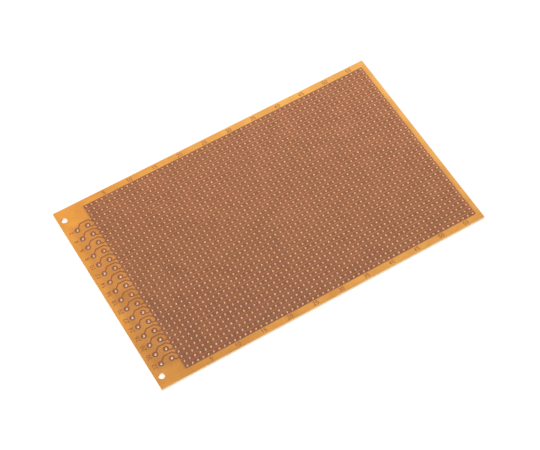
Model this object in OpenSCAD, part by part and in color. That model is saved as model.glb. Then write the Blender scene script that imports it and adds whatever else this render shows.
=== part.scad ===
// Single-sided strip board with an edge-connector footprint at one end.
//
// A sheet of paper laminate carries parallel copper strips on its upper face, and a grid of
// holes goes through both. At the connector end two columns of pads, one pad of each column
// to every second strip, are wired to the strips by short traces.
//
// X runs along the strips away from the connector end, Y across them and Z up out of the
// copper side. The origin is the middle of the underside, and every size is in millimetres.

/* [Board] */
// Length of the board, along the strips
board_l = 160; // [120:1:200]
// Width of the board, across the strips
board_w = 100; // [60:1:120]
// Thickness of the laminate
board_t = 1.5; // [0.8:0.1:3.2]

/* [Hole grid] */
// Distance from hole to hole and from strip to strip
pitch = 2.54; // [2.3:0.01:3]
// Diameter of the grid's holes
hole_d = 1; // [0.6:0.05:1.2]
// Distance from the last column of holes to the plain end of the board
end_margin = 3.43; // [2:0.01:8]
// Least distance from the connector end to the first column of holes
connector_zone = 14.3; // [14:0.1:24]
// Least distance from a long edge to the nearest row of holes
side_margin = 4.2; // [4:0.1:10]

/* [Copper] */
// Thickness of the foil
foil_t = 0.035; // [0.018:0.001:0.105]
// Bare gap between two strips
strip_gap = 0.42; // [0.3:0.01:0.8]
// Distance that a strip runs on past its first and last holes
strip_overrun = 1.08; // [0.9:0.01:1.5]
// Width of the traces between the pads and the strips
trace_w = 0.55; // [0.4:0.05:0.9]

/* [Edge connector] */
// Diameter of a pad
pad_d = 2.6; // [1.6:0.1:3]
// Diameter of the hole in a pad
pad_hole_d = 1.2; // [0.8:0.05:1.3]
// Diameter of the connector's mounting holes
mount_hole_d = 2.8; // [2.2:0.1:3.2]

/* [Numbers] */
// Height of a digit
digit_h = 2; // [1.2:0.1:2.4]
// Width of the line that a digit is drawn with
digit_line = 0.26; // [0.2:0.02:0.4]
// Space between two digits of a number
digit_gap = 0.3; // [0.2:0.05:0.6]
// Distance from the middle of the outer pads to the middle of the pin numbers
pin_number_x = 2.94; // [2.7:0.02:3.2]
// Distance from a long edge to the middle of the column numbers
column_number_y = 1.8; // [1.5:0.1:2.4]
// Columns from one column number to the next
number_step = 5; // [5:5:10]

/* [Hidden] */
$fn = 32;

// The grid: whole columns and rows, centred across the board and counted from its plain end.
columns = floor((board_l - connector_zone - end_margin) / pitch) + 1;
rows = floor((board_w - 2 * side_margin) / pitch) + 1;
last_x = board_l / 2 - end_margin;
first_x = last_x - (columns - 1) * pitch;
first_y = -(rows - 1) * pitch / 2;
function column_x(i) = first_x + i * pitch;
function row_y(i) = first_y + i * pitch;

// The connector: its pads lie midway between two strips, and its contacts are two pitches
// apart each way. Two strips at the near edge and three at the far one have no pad.
near_plain_rows = 2;
far_plain_rows = 3;
contacts = floor((rows - near_plain_rows - far_plain_rows) / 2);
outer_pad_x = column_x(-3.5);
inner_pad_x = column_x(-1.5);
function pad_y(k) = row_y(near_plain_rows + 0.5 + 2 * k);
mount_x = column_x(-4.5);
mount_ys = [pad_y(0) - 2 * pitch, pad_y(contacts - 1) + 3 * pitch];

function two_digits(n) = n < 10 ? str("0", n) : str(n);
function strip_node(i) = str("strip_", two_digits(i + 1));
strip_nodes = [for (i = [0:rows - 1]) strip_node(i)];

// ---- Flat shapes ----

// The point beside path[i] at a distance d to its left, on the mitre where two legs meet.
function unit(v) = v / norm(v);
function left_of(v) = [-v.y, v.x];
function beside(path, i, d, closed) =
    let (n = len(path),
         before = closed ? path[(i + n - 1) % n] : path[max(i - 1, 0)],
         after = closed ? path[(i + 1) % n] : path[min(i + 1, n - 1)],
         leg_in = path[i] == before ? unit(after - path[i]) : unit(path[i] - before),
         leg_out = path[i] == after ? leg_in : unit(after - path[i]),
         mitre = unit(left_of(leg_in) + left_of(leg_out)))
    path[i] + mitre * d / (mitre * left_of(leg_in));
function side(path, d, closed) = [for (i = [0:len(path) - 1]) beside(path, i, d, closed)];

// A line of even width along an open path, outlined anticlockwise.
module line(path, width) {
    right = side(path, -width / 2, false);
    left = side(path, width / 2, false);
    polygon(concat(right, [for (i = [len(left) - 1:-1:0]) left[i]]));
}

// A line of even width around a closed path that runs anticlockwise.
module loop(path, width) {
    difference() {
        polygon(side(path, -width / 2, true));
        polygon(side(path, width / 2, true));
    }
}

function arc(centre, rx, ry, from, to, steps) =
    [for (i = [0:steps]) let (a = from + (to - from) * i / steps)
        centre + [rx * cos(a), ry * sin(a)]];
function ellipse(centre, rx, ry, steps) =
    [for (i = [0:steps - 1]) let (a = 360 * i / steps) centre + [rx * cos(a), ry * sin(a)]];

// ---- Numbers ----

// A digit's lines run in a box of w by h, half as wide as it is high.
line_h = digit_h - digit_line;
line_w = line_h / 2;
digit_w = line_w + digit_line;

module digit(n) {
    w = line_w;
    h = line_h;
    r = h / 4;
    bowl = [w / 2, 0.3 * h];
    if (n == 0)
        loop(concat(arc([w / 2, h - w / 2], w / 2, w / 2, 0, 180, 6),
                    arc([w / 2, w / 2], w / 2, w / 2, 180, 360, 6)), digit_line);
    if (n == 1)
        line([[0.15 * w, 0.78 * h], [0.6 * w, h], [0.6 * w, 0]], digit_line);
    if (n == 2)
        line(concat(arc([w / 2, h - w / 2], w / 2, w / 2, 170, -30, 7), [[0, 0], [w, 0]]),
             digit_line);
    if (n == 3) {
        line(arc([w / 2, 3 * r], w / 2, r, 160, -105, 8), digit_line);
        line(arc([w / 2, r], w / 2, r, 105, -160, 8), digit_line);
    }
    if (n == 4) {
        line([[w, 0.3 * h], [0, 0.3 * h], [0.7 * w, h]], digit_line);
        translate([0.7 * w - digit_line / 2, -digit_line / 2])
            square([digit_line, h + digit_line]);
    }
    if (n == 5)
        line(concat([[w, h], [0.1 * w, h], [0, 0.5 * h]],
                    arc(bowl, w / 2, 0.3 * h, 125, -155, 8)), digit_line);
    if (n == 6) {
        loop(ellipse(bowl, w / 2, 0.3 * h, 12), digit_line);
        line(arc([0.8 * w, 0.3 * h], 0.8 * w, 0.7 * h, 175, 90, 4), digit_line);
    }
    if (n == 7)
        line([[0, h], [w, h], [0.3 * w, 0]], digit_line);
    if (n == 8) {
        translate([w / 2, r]) ring(r, digit_line);
        translate([w / 2, 3 * r]) ring(r, digit_line);
    }
    if (n == 9)
        translate([w, h]) rotate(180) digit(6);
}

module ring(r, width) {
    difference() {
        circle(r + width / 2);
        circle(r - width / 2);
    }
}

// A number of one or two digits about its middle, read along +X.
module number(n) {
    tens = floor(n / 10);
    step = digit_w + digit_gap;
    translate([-line_w / 2, -line_h / 2])
        if (tens == 0)
            digit(n);
        else {
            translate([-step / 2, 0]) digit(tens);
            translate([step / 2, 0]) digit(n % 10);
        }
}

// ---- Holes ----

module strip_holes(i) {
    for (c = [0:columns - 1])
        translate([column_x(c), row_y(i)]) circle(d = hole_d);
}

module pad_hole(x, k) {
    translate([x, pad_y(k)]) circle(d = pad_hole_d);
}

module connector_holes() {
    for (x = [outer_pad_x, inner_pad_x], k = [0:contacts - 1])
        pad_hole(x, k);
    for (y = mount_ys)
        translate([mount_x, y]) circle(d = mount_hole_d);
}

// ---- Pieces ----

module laminate() {
    color("#e2a05c")
    linear_extrude(board_t)
    difference() {
        square([board_l, board_w], center = true);
        for (i = [0:rows - 1])
            strip_holes(i);
        connector_holes();
    }
}

module copper() {
    color("#9a6a4c")
    translate([0, 0, board_t])
    linear_extrude(foil_t)
    children();
}

// The strip's own bar, whole.
module bar(i) {
    width = pitch - strip_gap;
    translate([first_x - strip_overrun, row_y(i) - width / 2])
        square([last_x - first_x + 2 * strip_overrun, width]);
}

// A pad of the outer column, whose trace passes above the inner pad to the strip over it.
module outer_pad(k) {
    pad = [outer_pad_x, pad_y(k)];
    line([pad, pad + [pitch, pitch], pad + [2.5 * pitch, pitch], pad + [3.5 * pitch, 0]],
         trace_w);
    translate(pad) circle(d = pad_d);
}

// A pad of the inner column, whose trace drops to the strip under it.
module inner_pad(k) {
    pad = [inner_pad_x, pad_y(k)];
    line([pad, pad + [pitch / 2, -pitch / 2], pad + [1.5 * pitch, -pitch / 2]], trace_w);
    translate(pad) circle(d = pad_d);
}

module strip(i) {
    above_near = i - near_plain_rows;
    k = floor(above_near / 2);
    wired = k >= 0 && k < contacts;
    inner = above_near % 2 == 0;
    copper()
    difference() {
        union() {
            bar(i);
            if (wired && inner) inner_pad(k);
            if (wired && !inner) outer_pad(k);
        }
        strip_holes(i);
        if (wired) pad_hole(inner ? inner_pad_x : outer_pad_x, k);
    }
}

// Even contact numbers, counted from the far edge and read along the row of pads.
module pin_numbers() {
    copper()
    for (k = [0:contacts - 1])
        translate([outer_pad_x - pin_number_x, pad_y(k)])
            rotate(90) number(2 * (contacts - k));
}

module column_numbers(y) {
    copper()
    for (n = [number_step:number_step:columns])
        translate([column_x(n - 1), y]) number(n);
}

module near_column_numbers() {
    column_numbers(column_number_y - board_w / 2);
}

module far_column_numbers() {
    column_numbers(board_w / 2 - column_number_y);
}

laminate();
pin_numbers();
near_column_numbers();
far_column_numbers();
for (i = [0:rows - 1])
    strip(i);
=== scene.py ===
import math

import bpy
from mathutils import Matrix, Vector


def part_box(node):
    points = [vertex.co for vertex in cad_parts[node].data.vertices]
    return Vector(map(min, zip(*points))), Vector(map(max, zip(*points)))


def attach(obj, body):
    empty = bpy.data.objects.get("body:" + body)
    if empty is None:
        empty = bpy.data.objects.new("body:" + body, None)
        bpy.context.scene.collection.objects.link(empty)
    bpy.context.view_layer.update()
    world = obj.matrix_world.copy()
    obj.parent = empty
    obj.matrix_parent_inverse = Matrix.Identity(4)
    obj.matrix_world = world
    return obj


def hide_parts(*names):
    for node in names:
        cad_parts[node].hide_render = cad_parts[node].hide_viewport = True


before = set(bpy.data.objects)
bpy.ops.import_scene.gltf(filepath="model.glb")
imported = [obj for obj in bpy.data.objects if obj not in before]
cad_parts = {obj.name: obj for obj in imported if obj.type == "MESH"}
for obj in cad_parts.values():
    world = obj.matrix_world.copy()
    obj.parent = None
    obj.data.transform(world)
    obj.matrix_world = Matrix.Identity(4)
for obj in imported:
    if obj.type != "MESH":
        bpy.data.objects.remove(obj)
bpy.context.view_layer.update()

# ---------------------------------------------------------------------------------------
# Camera. The board lies flat and is seen from above the corner between its connector end
# and its near edge, with a long lens, so that its far edges hardly close in.

aim = Vector((-0.00158, -0.00477, 0.00154))
aim_distance = 0.7449
azimuth, elevation, roll = (math.radians(a) for a in (27.86, 58.21, -3.18))

back = Vector((-math.sin(azimuth) * math.cos(elevation),
               -math.cos(azimuth) * math.cos(elevation), math.sin(elevation)))
camera_data = bpy.data.cameras.new("camera")
camera_data.lens = 114.162
camera_data.sensor_width = 36
camera_data.clip_start = 0.01
camera = bpy.data.objects.new("camera", camera_data)
bpy.context.collection.objects.link(camera)
turn = (-back).to_track_quat("-Z", "Y").to_matrix().to_4x4() @ Matrix.Rotation(roll, 4, "Z")
camera.matrix_world = Matrix.Translation(aim + back * aim_distance) @ turn
bpy.context.scene.camera = camera

# ---------------------------------------------------------------------------------------
# Table. A plain white sheet of paper, on which only the board's own soft shadow shows. It is
# a plane just clear of the board's underside, and no part of the board.

mm = 0.001
table_top = -0.05 * mm
half_table = 1.2


def linear(hex_colour):
    """An sRGB hex colour as Blender's linear RGBA."""
    parts = [int(hex_colour[i:i + 2], 16) / 255 for i in (1, 3, 5)]
    return (*(p / 12.92 if p <= 0.04045 else ((p + 0.055) / 1.055) ** 2.4 for p in parts), 1)


def add(tree, kind, settings=None, **inputs):
    """A node in tree. settings are its properties, and inputs its sockets by name or by
    number (as _0): each value is a socket to link, a list of them, or a plain value."""
    node = tree.nodes.new(kind)
    for name, value in (settings or {}).items():
        setattr(node, name, value)
    for name, value in inputs.items():
        key = int(name[1:]) if name[0] == "_" else name.replace("_", " ")
        for source in value if isinstance(value, list) else [value]:
            if isinstance(source, bpy.types.NodeSocket):
                tree.links.new(source, node.inputs[key])
            else:
                node.inputs[key].default_value = source
    return node


def material(name):
    """An empty material and its node tree."""
    made = bpy.data.materials.new(name)
    made.use_nodes = True
    made.node_tree.nodes.clear()
    return made, made.node_tree


def looked_at(tree):
    """1 where a surface is seen, straight, mirrored or through glass, and 0 where it only
    lights something else."""
    path = add(tree, "ShaderNodeLightPath").outputs
    seen = add(tree, "ShaderNodeMath", {"operation": "MAXIMUM"}, _0=path["Is Camera Ray"],
               _1=path["Is Glossy Ray"])
    return add(tree, "ShaderNodeMath", {"operation": "MAXIMUM"}, _0=seen.outputs[0],
               _1=path["Is Transmission Ray"]).outputs[0]


# White paper: to the board it is plain paper in the same light. To the eye it is made just
# white wherever nothing shades it, and a little less in the board's shadow. From underneath
# it is left clear, to show the underside.
veil_strength = 0.86
white_paper, tree = material("white_paper")
paper = add(tree, "ShaderNodeBsdfDiffuse", Color=linear("#f0f0f0"))
dim_paper = add(tree, "ShaderNodeBsdfDiffuse", Color=linear("#808080"))
veil = add(tree, "ShaderNodeEmission", Color=linear("#ffffff"), Strength=veil_strength)
veiled = add(tree, "ShaderNodeAddShader", _0=dim_paper.outputs[0], _1=veil.outputs[0])
top = add(tree, "ShaderNodeMixShader", Fac=looked_at(tree), _1=paper.outputs[0],
          _2=veiled.outputs[0])
clear = add(tree, "ShaderNodeBsdfTransparent")
from_under = add(tree, "ShaderNodeNewGeometry").outputs["Backfacing"]
either_side = add(tree, "ShaderNodeMixShader", Fac=from_under, _1=top.outputs[0],
                  _2=clear.outputs[0])
add(tree, "ShaderNodeOutputMaterial", Surface=either_side.outputs[0])

table_corners = [(x * half_table, y * half_table, table_top)
                 for x, y in ((-1, -1), (1, -1), (1, 1), (-1, 1))]
table_mesh = bpy.data.meshes.new("table")
table_mesh.from_pydata(table_corners, [], [(0, 1, 2, 3)])
table_mesh.materials.append(white_paper)
table = bpy.data.objects.new("table", table_mesh)
bpy.context.collection.objects.link(table)

# ---------------------------------------------------------------------------------------
# Light. A white room, dim but for what is seen or mirrored in it, and one large soft box
# behind the camera and to its left, far enough off to light the whole board alike.

room_strength = 0.1
soft_box_width = 2.4
soft_box_power = 458
soft_box_place = Vector((-2.7, -2.2, 5.0))

world = bpy.data.worlds.new("white_room")
world.use_nodes = True
tree = world.node_tree
tree.nodes.clear()
room = add(tree, "ShaderNodeBackground", Color=linear("#ffffff"), Strength=room_strength)
white = add(tree, "ShaderNodeBackground", Color=linear("#ffffff"), Strength=1)
room_mix = add(tree, "ShaderNodeMixShader", Fac=looked_at(tree), _1=room.outputs[0],
               _2=white.outputs[0])
add(tree, "ShaderNodeOutputWorld", Surface=room_mix.outputs[0])
bpy.context.scene.world = world

key_data = bpy.data.lights.new("key_light", "AREA")
key_data.size = soft_box_width
key_data.energy = soft_box_power
key_light = bpy.data.objects.new("key_light", key_data)
bpy.context.collection.objects.link(key_light)
key_light.location = soft_box_place
key_light.rotation_euler = (-soft_box_place).to_track_quat("-Z", "Y").to_euler()

bpy.context.scene.view_settings.view_transform = "Standard"

# ---------------------------------------------------------------------------------------
# Laminate. One sheet of amber phenolic paper laminate, pressed between polished plates and
# cut to size. Its grid of holes, the connector's two columns of holes and the two mounting
# holes are drilled right through it, and it takes the place of the CAD sheet.

# The grid's pitch, rows and ends come from the strips. The connector's holes keep to the same
# pitch, midway between two strips, and two strips at the near edge and three at the far one
# have no contact.
low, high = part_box("laminate")
strip_low, strip_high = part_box("strip_01")
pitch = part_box("strip_02")[0][1] - strip_low[1]
strips = sorted(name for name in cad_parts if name.startswith("strip_"))
rows = len(strips)
strip_overrun = 1.08 * mm
first_x = strip_low[0] + strip_overrun
last_x = strip_high[0] - strip_overrun
columns = round((last_x - first_x) / pitch) + 1
first_y = (strip_low[1] + strip_high[1]) / 2
near_plain_rows, far_plain_rows = 2, 3
contacts = (rows - near_plain_rows - far_plain_rows) // 2
first_pad_y = first_y + (near_plain_rows + 0.5) * pitch
outer_pad_x, inner_pad_x, mount_x = (first_x - n * pitch for n in (3.5, 1.5, 4.5))
near_mount_y = first_pad_y - 2 * pitch
far_mount_y = first_pad_y + (2 * contacts + 1) * pitch
# Radii of the three sizes of hole, and the sides that each is drawn with.
hole_radius, pad_hole_radius, mount_hole_radius = 0.5 * mm, 0.6 * mm, 1.4 * mm
hole_sides, pad_hole_sides, mount_hole_sides = 18, 24, 48
# Points nearer than this are one, and edges sharper than this stay sharp.
weld_distance = 0.001 * mm
sharp_angle = math.radians(30)


def node_group(name, **inputs):
    """A geometry node tree whose inputs are named sizes, and the identifier of each."""
    group = bpy.data.node_groups.new(name, "GeometryNodeTree")
    group.interface.new_socket("Geometry", in_out="OUTPUT", socket_type="NodeSocketGeometry")
    sockets = {}
    for label, kind in inputs.items():
        item = group.interface.new_socket(label, in_out="INPUT", socket_type=kind)
        sockets[label] = item.identifier
    return group, sockets


def grown(name, group, values):
    """A plain mesh object that holds what group makes with those values."""
    holder = bpy.data.objects.new(name, bpy.data.meshes.new(name))
    bpy.context.collection.objects.link(holder)
    nodes = holder.modifiers.new("nodes", "NODES")
    nodes.node_group = group
    for identifier, value in values.items():
        nodes[identifier] = value
    evaluated = holder.evaluated_get(bpy.context.evaluated_depsgraph_get())
    made = bpy.data.meshes.new_from_object(evaluated)
    holder.modifiers.remove(nodes)
    holder.data = made
    made.name = name
    return holder


# Middles and half sizes of the board, of the strips' field and of the pads' field, in plan.
board_middle = ((low[0] + high[0]) / 2, (low[1] + high[1]) / 2, 0)
half_board = ((high[0] - low[0]) / 2, (high[1] - low[1]) / 2, 1)
strip_field = ((first_x + last_x) / 2, board_middle[1], 0)
half_field = (strip_high[0] - strip_field[0], (rows - 1) / 2 * pitch, 1)
pads_middle = ((outer_pad_x + first_x) / 2, first_pad_y + (contacts - 1) * pitch, 0)
half_pads = ((first_x - outer_pad_x) / 2 + pitch, contacts * pitch, 1)
far_left_corner = (low[0], high[1], high[2])


def outside(tree, place, middle, half):
    """How far place lies outside a rectangle about middle, seen in plan: below 0 within."""
    offset = add(tree, "ShaderNodeVectorMath", {"operation": "SUBTRACT"}, _0=place, _1=middle)
    size = add(tree, "ShaderNodeVectorMath", {"operation": "ABSOLUTE"}, _0=offset.outputs[0])
    past = add(tree, "ShaderNodeVectorMath", {"operation": "SUBTRACT"}, _0=size.outputs[0],
               _1=half)
    both = add(tree, "ShaderNodeSeparateXYZ", Vector=past.outputs[0])
    return add(tree, "ShaderNodeMath", {"operation": "MAXIMUM"}, _0=both.outputs["X"],
               _1=both.outputs["Y"]).outputs[0]


# Pressed phenolic paper: a clear resin skin over amber paper that light soaks into. It is
# clouded, flecked with fibres and more orange at its far left corner. Painted light makes it
# a little paler towards its far right corner. Painted shade makes it browner between the pads
# and strips, leaving the bare borders bright, and from below paints the strips as faint
# darker bands, as their shadow through the sheet.
cloud_width = 9 * mm
# Painted light: the way in which the colour of sheet and foil grows paler.
painted_light_way = (2.4, 4.8, 0)
shade_spread = 1.5 * mm
pads_shade = 0.4
painted_shade_under_strip, painted_shade_under_gap = 0.6, 0.1
orange_reach = 105 * mm
pressed, tree = material("pressed_phenolic_paper")
at = add(tree, "ShaderNodeTexCoord").outputs["Object"]
clouds = add(tree, "ShaderNodeTexNoise", Vector=at, Scale=1 / cloud_width, Detail=3)
# Painted light: the amber is made paler towards the far right corner, as if more light fell
# there.
painted_light_lean = add(tree, "ShaderNodeVectorMath", {"operation": "DOT_PRODUCT"}, _0=at, _1=painted_light_way)
clouds_and_painted_light = add(tree, "ShaderNodeMath", _0=clouds.outputs["Fac"], _1=painted_light_lean.outputs["Value"])
amber = add(tree, "ShaderNodeMix", {"data_type": "RGBA"}, _0=clouds_and_painted_light.outputs[0],
            _6=linear("#c48338"), _7=linear("#f2b058"))
# Painted shade: a browner amber for where the strips and pads would shade the sheet.
painted_shade_amber = add(tree, "ShaderNodeMix", {"data_type": "RGBA"}, _0=clouds_and_painted_light.outputs[0],
                   _6=linear("#8f5934"), _7=linear("#cb8b5e"))
# Painted shade: masks of the strips' field and the pads' field, softened at their edges.
field = add(tree, "ShaderNodeMapRange", {"interpolation_type": "SMOOTHSTEP"},
            Value=outside(tree, at, strip_field, half_field), From_Min=shade_spread,
            From_Max=-shade_spread)
pads_field = add(tree, "ShaderNodeMapRange", {"interpolation_type": "SMOOTHSTEP"},
                 Value=outside(tree, at, pads_middle, half_pads), From_Min=shade_spread,
                 From_Max=-shade_spread, To_Max=pads_shade)
painted_copper_shade = add(tree, "ShaderNodeMath", {"operation": "MAXIMUM"}, _0=field.outputs[0],
              _1=pads_field.outputs[0])
parts = add(tree, "ShaderNodeSeparateXYZ", Vector=at)
# Painted shade on the underside: darker bands under the strips, for their shadow seen through
# the sheet. The top takes the painted shade whole.
row = add(tree, "ShaderNodeMath", {"operation": "MULTIPLY_ADD"}, _0=parts.outputs["Y"],
          _1=1 / pitch, _2=-first_y / pitch)
from_row = add(tree, "ShaderNodeMath", {"operation": "PINGPONG"}, _0=row.outputs[0], _1=0.5)
band = add(tree, "ShaderNodeMapRange", {"interpolation_type": "SMOOTHSTEP"},
           Value=from_row.outputs[0], From_Min=0.3, From_Max=0.5, To_Min=painted_shade_under_strip,
           To_Max=painted_shade_under_gap)
upper = add(tree, "ShaderNodeMath", {"operation": "GREATER_THAN"}, _0=parts.outputs["Z"],
            _1=(low[2] + high[2]) / 2)
depth = add(tree, "ShaderNodeMix", {"data_type": "FLOAT"}, _0=upper.outputs[0],
            _2=band.outputs[0], _3=1)
shade = add(tree, "ShaderNodeMath", {"operation": "MULTIPLY"}, _0=painted_copper_shade.outputs[0],
            _1=depth.outputs[0])
# The amber darkened by the painted shade.
amber_with_painted_shade = add(tree, "ShaderNodeMix", {"data_type": "RGBA"}, _0=shade.outputs[0],
          _6=amber.outputs[2], _7=painted_shade_amber.outputs[2])
far_left = add(tree, "ShaderNodeVectorMath", {"operation": "DISTANCE"}, _0=at,
               _1=far_left_corner)
orange = add(tree, "ShaderNodeMapRange", Value=far_left.outputs["Value"],
             From_Max=orange_reach, To_Min=1, To_Max=0)
tint = add(tree, "ShaderNodeMix", {"data_type": "RGBA"}, _0=orange.outputs[0],
           _6=linear("#ffffff"), _7=linear("#ffefcb"))
tinted = add(tree, "ShaderNodeVectorMath", {"operation": "MULTIPLY"}, _0=amber_with_painted_shade.outputs[2],
             _1=tint.outputs[2])
# Fibres lying all ways: two sets, one across the other, that make thin and thick felt.
fibre_length, fibre_width, fibre_depth = 1.2 * mm, 0.3 * mm, 1 * mm
thin_felt, thick_felt = 0.12, 0.4
fibre_scale = (1 / fibre_length, 1 / fibre_width, 1 / fibre_depth)
along = add(tree, "ShaderNodeMapping", Vector=at, Rotation=(0, 0, 0.4), Scale=fibre_scale)
across = add(tree, "ShaderNodeMapping", Vector=at, Rotation=(0, 0, 1.9), Scale=fibre_scale)
fibres = add(tree, "ShaderNodeTexNoise", Vector=along.outputs[0], Scale=1, Detail=2)
more_fibres = add(tree, "ShaderNodeTexNoise", Vector=across.outputs[0], Scale=1, Detail=2)
felt = add(tree, "ShaderNodeMath", {"operation": "MULTIPLY"}, _0=fibres.outputs["Fac"],
           _1=more_fibres.outputs["Fac"])
fleck = add(tree, "ShaderNodeMapRange", Value=felt.outputs[0], From_Min=thin_felt,
            From_Max=thick_felt, To_Min=0.92, To_Max=1.05)
flecked = add(tree, "ShaderNodeVectorMath", {"operation": "SCALE"}, _0=tinted.outputs[0],
              Scale=fleck.outputs[0])
sheen = add(tree, "ShaderNodeMapRange", Value=clouds.outputs["Fac"], To_Min=0.34,
            To_Max=0.46)
relief = add(tree, "ShaderNodeBump", Strength=0.15, Distance=0.02 * mm,
             Height=felt.outputs[0])
sheet_skin = add(tree, "ShaderNodeBsdfPrincipled", Base_Color=flecked.outputs[0],
                 Roughness=sheen.outputs[0], IOR=1.5, Normal=relief.outputs[0])
add(tree, "ShaderNodeOutputMaterial", Surface=sheet_skin.outputs[0])

# Cut phenolic paper: saw and drill break through the resin into bare paper, pale and quite
# matte, with its pressed plies as faint lines. The drill scorches it a little, some holes
# more than others, and the saw leaves it fluffed and paler at the rim of the sheet.
ply_height = 0.19 * mm
ply_share = 0.3
scorch_width = 1.2 * mm
scorch_contrast, scorch_offset = 2.4, -0.7
rim_depth = 0.05 * mm
cut, tree = material("cut_phenolic_paper")
at = add(tree, "ShaderNodeTexCoord").outputs["Object"]
# The bands of a Wave texture lie pi / 10 / Scale apart.
plies = add(tree, "ShaderNodeTexWave", {"bands_direction": "Z"}, Vector=at,
            Scale=math.pi / 10 / ply_height, Distortion=1.5, Detail=2, Detail_Scale=4)
wear = add(tree, "ShaderNodeTexNoise", Vector=at, Scale=1 / scorch_width, Detail=1)
scorch = add(tree, "ShaderNodeMath", {"operation": "MULTIPLY_ADD"}, _0=wear.outputs["Fac"],
             _1=scorch_contrast, _2=scorch_offset)
worn_plies = add(tree, "ShaderNodeMix", {"data_type": "FLOAT"}, _0=ply_share,
                 _2=scorch.outputs[0], _3=plies.outputs["Fac"])
drilled_paper = add(tree, "ShaderNodeMix", {"data_type": "RGBA"}, _0=worn_plies.outputs[0],
                    _6=linear("#e6b896"), _7=linear("#fddfbe"))
sawn_paper = add(tree, "ShaderNodeMix", {"data_type": "RGBA"}, _0=plies.outputs["Fac"],
                 _6=linear("#e2cba9"), _7=linear("#f4e2c8"))
at_rim = add(tree, "ShaderNodeMath", {"operation": "GREATER_THAN"},
             _0=outside(tree, at, board_middle, half_board), _1=-rim_depth)
bare_paper = add(tree, "ShaderNodeMix", {"data_type": "RGBA"}, _0=at_rim.outputs[0],
                 _6=drilled_paper.outputs[2], _7=sawn_paper.outputs[2])
cut_face = add(tree, "ShaderNodeBsdfPrincipled", Base_Color=bare_paper.outputs[2],
               Roughness=0.9, IOR=1.5, Specular_IOR_Level=0.1)
add(tree, "ShaderNodeOutputMaterial", Surface=cut_face.outputs[0])

# The drilled sheet: one square cell with its hole, repeated over the grid, and the bare
# borders filled in round the other holes, all given the thickness of the sheet.
drilled, name_of = node_group(
    "drilled_sheet", Board_length="NodeSocketFloat", Board_width="NodeSocketFloat",
    Board_thickness="NodeSocketFloat", Hole_pitch="NodeSocketFloat",
    Columns="NodeSocketInt", Rows="NodeSocketInt", Hole_radius="NodeSocketFloat",
    Grid_middle="NodeSocketVector", Contacts="NodeSocketInt",
    Pad_hole_radius="NodeSocketFloat", Pads_middle="NodeSocketVector",
    Mount_hole_radius="NodeSocketFloat", Near_mount="NodeSocketVector",
    Mount_step="NodeSocketVector", Face_material="NodeSocketMaterial",
    Cut_material="NodeSocketMaterial")
sizes = add(drilled, "NodeGroupInput").outputs


def lattice(columns, rows, step, middle):
    """A mesh grid of that many points, step apart both ways, about middle."""
    past_last = add(drilled, "ShaderNodeCombineXYZ", X=columns, Y=rows)
    last = add(drilled, "ShaderNodeVectorMath", {"operation": "SUBTRACT"},
               _0=past_last.outputs[0], _1=(1, 1, 0))
    span = add(drilled, "ShaderNodeVectorMath", {"operation": "SCALE"}, _0=last.outputs[0],
               Scale=step)
    size = add(drilled, "ShaderNodeSeparateXYZ", Vector=span.outputs[0])
    grid = add(drilled, "GeometryNodeMeshGrid", Vertices_X=columns, Vertices_Y=rows,
               Size_X=size.outputs["X"], Size_Y=size.outputs["Y"])
    return add(drilled, "GeometryNodeTransform", Geometry=grid.outputs["Mesh"],
               Translation=middle).outputs[0]


def repeated(shape, points):
    """shape at each point."""
    copies = add(drilled, "GeometryNodeInstanceOnPoints", Points=points, Instance=shape)
    return add(drilled, "GeometryNodeRealizeInstances", Geometry=copies.outputs[0]).outputs[0]


def face_between(curves):
    """The flat face that lies between those closed curves."""
    together = add(drilled, "GeometryNodeJoinGeometry", Geometry=curves)
    face = add(drilled, "GeometryNodeFillCurve", Curve=together.outputs[0])
    return add(drilled, "GeometryNodeSetMaterial", Geometry=face.outputs[0],
               Material=sizes["Face_material"]).outputs[0]


def welded(meshes):
    """Those meshes as one, with the points that lie on each other made one."""
    together = add(drilled, "GeometryNodeJoinGeometry", Geometry=meshes)
    return add(drilled, "GeometryNodeMergeByDistance", Geometry=together.outputs[0],
               Distance=weld_distance).outputs[0]


step = sizes["Hole_pitch"]
cell_edge = add(drilled, "GeometryNodeCurvePrimitiveQuadrilateral", Width=step, Height=step)
hole = add(drilled, "GeometryNodeCurvePrimitiveCircle", Resolution=hole_sides,
           Radius=sizes["Hole_radius"])
cell = face_between([cell_edge.outputs[0], hole.outputs["Curve"]])
holes = lattice(sizes["Columns"], sizes["Rows"], step, sizes["Grid_middle"])
corner_columns = add(drilled, "ShaderNodeMath", _0=sizes["Columns"], _1=1)
corner_rows = add(drilled, "ShaderNodeMath", _0=sizes["Rows"], _1=1)
corners = lattice(corner_columns.outputs[0], corner_rows.outputs[0], step,
                  sizes["Grid_middle"])
beside = add(drilled, "GeometryNodeInputMeshEdgeNeighbors")
rim = add(drilled, "ShaderNodeMath", {"operation": "COMPARE"}, _0=beside.outputs[0], _1=1)
grid_edge = add(drilled, "GeometryNodeMeshToCurve", Mesh=corners, Selection=rim.outputs[0])
two_steps = add(drilled, "ShaderNodeMath", _0=step, _1=step)
pads = lattice(2, sizes["Contacts"], two_steps.outputs[0], sizes["Pads_middle"])
pad_hole = add(drilled, "GeometryNodeCurvePrimitiveCircle", Resolution=pad_hole_sides,
               Radius=sizes["Pad_hole_radius"])
mounts = add(drilled, "GeometryNodeMeshLine", Count=2, Start_Location=sizes["Near_mount"],
             Offset=sizes["Mount_step"])
mount_hole = add(drilled, "GeometryNodeCurvePrimitiveCircle", Resolution=mount_hole_sides,
                 Radius=sizes["Mount_hole_radius"])
outline = add(drilled, "GeometryNodeCurvePrimitiveQuadrilateral", Width=sizes["Board_length"],
              Height=sizes["Board_width"])
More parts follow.
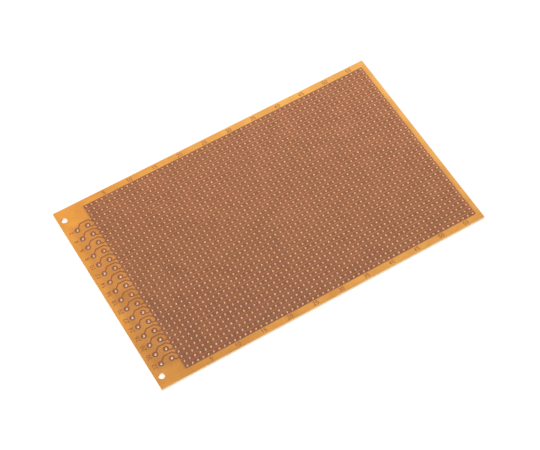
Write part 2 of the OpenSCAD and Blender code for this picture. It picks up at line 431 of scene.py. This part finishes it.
borders = face_between([outline.outputs[0], grid_edge.outputs[0],
                        repeated(pad_hole.outputs["Curve"], pads),
                        repeated(mount_hole.outputs["Curve"], mounts.outputs[0])])
face = welded([repeated(cell, holes), borders])
up = add(drilled, "ShaderNodeCombineXYZ", Z=sizes["Board_thickness"])
thick = add(drilled, "GeometryNodeExtrudeMesh", Mesh=face, Offset=up.outputs[0],
            Offset_Scale=1, Individual=False)
under = add(drilled, "GeometryNodeFlipFaces", Mesh=face)
closed = welded([thick.outputs["Mesh"], under.outputs[0]])
whole = add(drilled, "GeometryNodeRealizeInstances", Geometry=closed)
bored = add(drilled, "GeometryNodeSetMaterial", Geometry=whole.outputs[0],
            Selection=thick.outputs["Side"], Material=sizes["Cut_material"])
add(drilled, "NodeGroupOutput", Geometry=bored.outputs[0])

sheet = grown("laminate_sheet", drilled, {
    name_of["Board_length"]: high[0] - low[0],
    name_of["Board_width"]: high[1] - low[1],
    name_of["Board_thickness"]: high[2] - low[2],
    name_of["Hole_pitch"]: pitch,
    name_of["Columns"]: columns,
    name_of["Rows"]: rows,
    name_of["Hole_radius"]: hole_radius,
    name_of["Grid_middle"]: ((first_x + last_x) / 2, (low[1] + high[1]) / 2, low[2]),
    name_of["Contacts"]: contacts,
    name_of["Pad_hole_radius"]: pad_hole_radius,
    name_of["Pads_middle"]: ((outer_pad_x + inner_pad_x) / 2,
                             first_pad_y + (contacts - 1) * pitch, low[2]),
    name_of["Mount_hole_radius"]: mount_hole_radius,
    name_of["Near_mount"]: (mount_x, near_mount_y, low[2]),
    name_of["Mount_step"]: (0, far_mount_y - near_mount_y, 0),
    name_of["Face_material"]: pressed,
    name_of["Cut_material"]: cut,
})
sheet.data.shade_smooth()
sheet.data.set_sharp_from_angle(angle=sharp_angle)
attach(sheet, "root")
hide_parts("laminate")

# ---------------------------------------------------------------------------------------
# Copper. Each strip, pad and number is what was left of one foil, etched on the sheet and
# then lacquered against the air. All of them are the CAD's own shapes.

# Lacquered copper foil: scrubbed along the board before etching, then dulled brown under a
# thin clear lacquer, so that it shines softly, with a fine grain and slow patches. Painted
# light makes it a little brighter towards the sheet's far right corner, as on the sheet.
patch_width = 6 * mm
mark_length, mark_width, mark_depth = 6 * mm, 0.12 * mm, 1 * mm
foil, tree = material("lacquered_copper_foil")
at = add(tree, "ShaderNodeTexCoord").outputs["Object"]
patina = add(tree, "ShaderNodeTexNoise", Vector=at, Scale=1 / patch_width, Detail=4)
# Painted light: the foil brightens towards the far right corner, added to its patina.
painted_light_lean = add(tree, "ShaderNodeVectorMath", {"operation": "DOT_PRODUCT"}, _0=at, _1=painted_light_way)
patina_and_painted_light = add(tree, "ShaderNodeMath", _0=patina.outputs["Fac"], _1=painted_light_lean.outputs["Value"])
brown = add(tree, "ShaderNodeMix", {"data_type": "RGBA"}, _0=patina_and_painted_light.outputs[0],
            _6=linear("#845338"), _7=linear("#a36846"))
drawn = add(tree, "ShaderNodeMapping", Vector=at,
            Scale=(1 / mark_length, 1 / mark_width, 1 / mark_depth))
scrub = add(tree, "ShaderNodeTexNoise", Vector=drawn.outputs[0], Scale=1, Detail=2)
grain = add(tree, "ShaderNodeMapRange", Value=scrub.outputs["Fac"], To_Min=0.8, To_Max=1.2)
scrubbed = add(tree, "ShaderNodeVectorMath", {"operation": "SCALE"}, _0=brown.outputs[2],
               Scale=grain.outputs[0])
dullness = add(tree, "ShaderNodeMapRange", Value=scrub.outputs["Fac"], To_Min=0.38,
               To_Max=0.52)
marks = add(tree, "ShaderNodeBump", Strength=0.2, Distance=0.005 * mm,
            Height=scrub.outputs["Fac"])
copper = add(tree, "ShaderNodeBsdfPrincipled", Base_Color=scrubbed.outputs[0], Metallic=0.85,
             Roughness=dullness.outputs[0], Coat_Weight=0.2, Coat_Roughness=0.3,
             Normal=marks.outputs[0])
add(tree, "ShaderNodeOutputMaterial", Surface=copper.outputs[0])
for name in strips + ["pin_numbers", "near_column_numbers", "far_column_numbers"]:
    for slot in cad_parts[name].material_slots:
        slot.material = foil
